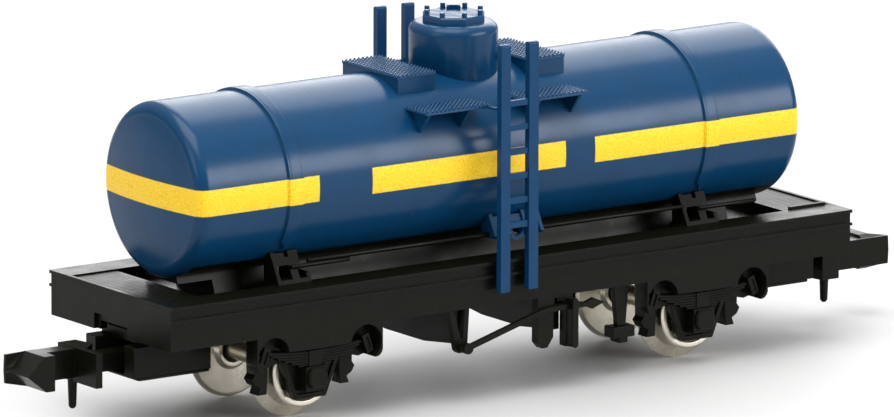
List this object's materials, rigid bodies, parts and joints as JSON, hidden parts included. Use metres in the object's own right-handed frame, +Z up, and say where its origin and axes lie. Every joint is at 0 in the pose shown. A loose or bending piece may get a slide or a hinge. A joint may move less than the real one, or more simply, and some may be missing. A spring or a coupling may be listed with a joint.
{
  "type": "model tank wagon",
  "caption": "Two-axle model tank wagon: cylindrical tank with dome, walkways and ladders on a flat underframe with brake gear, spinning wheelsets and sprung hook couplers.",
  "frame": {"origin": "bottom centre of the whole wagon, level with the lowest point of the wheel flanges", "axes": "+X along the wagon to the rear coupler, +Y to the far side, +Z up"},
  "size_m": [0.0786, 0.0178, 0.0281],
  "materials": {
    "tank_blue": "semi-gloss painted, with a yellow band printed around the barrel",
    "ladder_blue": "self-coloured satin moulding",
    "chassis_black": "satin black moulding",
    "wheel_nickel": "turned and nickel plated",
    "sleeve_plastic": "black insulating plastic",
    "ballast_steel": "plain steel plate",
    "spring_steel": "drawn steel wire"
  },
  "bodies": {
    "chassis": {"axle_box_front_far": "chassis_black", "axle_box_front_near": "chassis_black", "axle_box_rear_far": "chassis_black", "axle_box_rear_near": "chassis_black", "axle_guard_front_far": "chassis_black", "axle_guard_front_near": "chassis_black", "axle_guard_rear_far": "chassis_black", "axle_guard_rear_near": "chassis_black", "ballast_weight": "ballast_steel", "brake_blocks_front": "chassis_black", "brake_blocks_rear": "chassis_black", "brake_lever_far": "chassis_black", "brake_lever_near": "chassis_black", "coupler_cover_front": "chassis_black", "coupler_cover_rear": "chassis_black", "deck": "chassis_black", "dome": "tank_blue", "dome_lid": "tank_blue", "floor_pan": "chassis_black", "hold_down_rods": "chassis_black", "ladder_far": "ladder_blue", "ladder_near": "ladder_blue", "leaf_spring_front_far": "chassis_black", "leaf_spring_front_near": "chassis_black", "leaf_spring_rear_far": "chassis_black", "leaf_spring_rear_near": "chassis_black", "lever_guide_far": "chassis_black", "lever_guide_near": "chassis_black", "lid_bolts": "tank_blue", "lid_clamp": "tank_blue", "platform_front": "tank_blue", "platform_rear": "tank_blue", "saddle_front": "chassis_black", "saddle_rear": "chassis_black", "safety_loops": "chassis_black", "spring_shackles_far": "chassis_black", "spring_shackles_near": "chassis_black", "tank_anchor_far": "tank_blue", "tank_anchor_near": "tank_blue", "tank_cradle": "chassis_black", "tank_shell": "tank_blue", "underframe": "chassis_black", "v_hanger_far": "chassis_black", "v_hanger_near": "chassis_black", "walkway_front_far": "tank_blue", "walkway_front_near": "tank_blue", "walkway_rear_far": "tank_blue", "walkway_rear_near": "tank_blue"},
    "wheelset_front": {"axle_front": "wheel_nickel", "insulating_sleeve_front": "sleeve_plastic", "wheel_front_far": "wheel_nickel", "wheel_front_near": "wheel_nickel"},
    "wheelset_rear": {"axle_rear": "wheel_nickel", "insulating_sleeve_rear": "sleeve_plastic", "wheel_rear_far": "wheel_nickel", "wheel_rear_near": "wheel_nickel"},
    "coupler_carrier_front": {"coupler_spring_front": "spring_steel"},
    "coupler_carrier_rear": {"coupler_spring_rear": "spring_steel"},
    "coupler_head_front": {"coupler_front": "chassis_black"},
    "coupler_head_rear": {"coupler_rear": "chassis_black"}
  },
  "joints": [
    {"name": "wheelset_front_spin", "type": "hinge", "parent": "chassis", "child": "wheelset_front", "pos_m": [-0.01765, 0, 0.00371], "axis": [0, 1, 0], "continuous": true},
    {"name": "coupler_front_swing", "type": "hinge", "parent": "chassis", "child": "coupler_carrier_front", "pos_m": [-0.0274, 0, 0.0052], "axis": [0, 0, 1], "range_deg": [-12, 12], "stiffness_Nm_per_rad": 0.0008},
    {"name": "coupler_front_lift", "type": "hinge", "parent": "coupler_carrier_front", "child": "coupler_head_front", "pos_m": [-0.0274, 0, 0.0052], "axis": [0, 1, 0], "range_deg": [0, 8], "stiffness_Nm_per_rad": 0.0008, "springref_deg": -2.86},
    {"name": "wheelset_rear_spin", "type": "hinge", "parent": "chassis", "child": "wheelset_rear", "pos_m": [0.01765, 0, 0.00371], "axis": [0, 1, 0], "continuous": true},
    {"name": "coupler_rear_swing", "type": "hinge", "parent": "chassis", "child": "coupler_carrier_rear", "pos_m": [0.0274, 0, 0.0052], "axis": [0, 0, 1], "range_deg": [-12, 12], "stiffness_Nm_per_rad": 0.0008},
    {"name": "coupler_rear_lift", "type": "hinge", "parent": "coupler_carrier_rear", "child": "coupler_head_rear", "pos_m": [0.0274, 0, 0.0052], "axis": [0, -1, 0], "range_deg": [0, 8], "stiffness_Nm_per_rad": 0.0008, "springref_deg": -2.86}
  ]
}
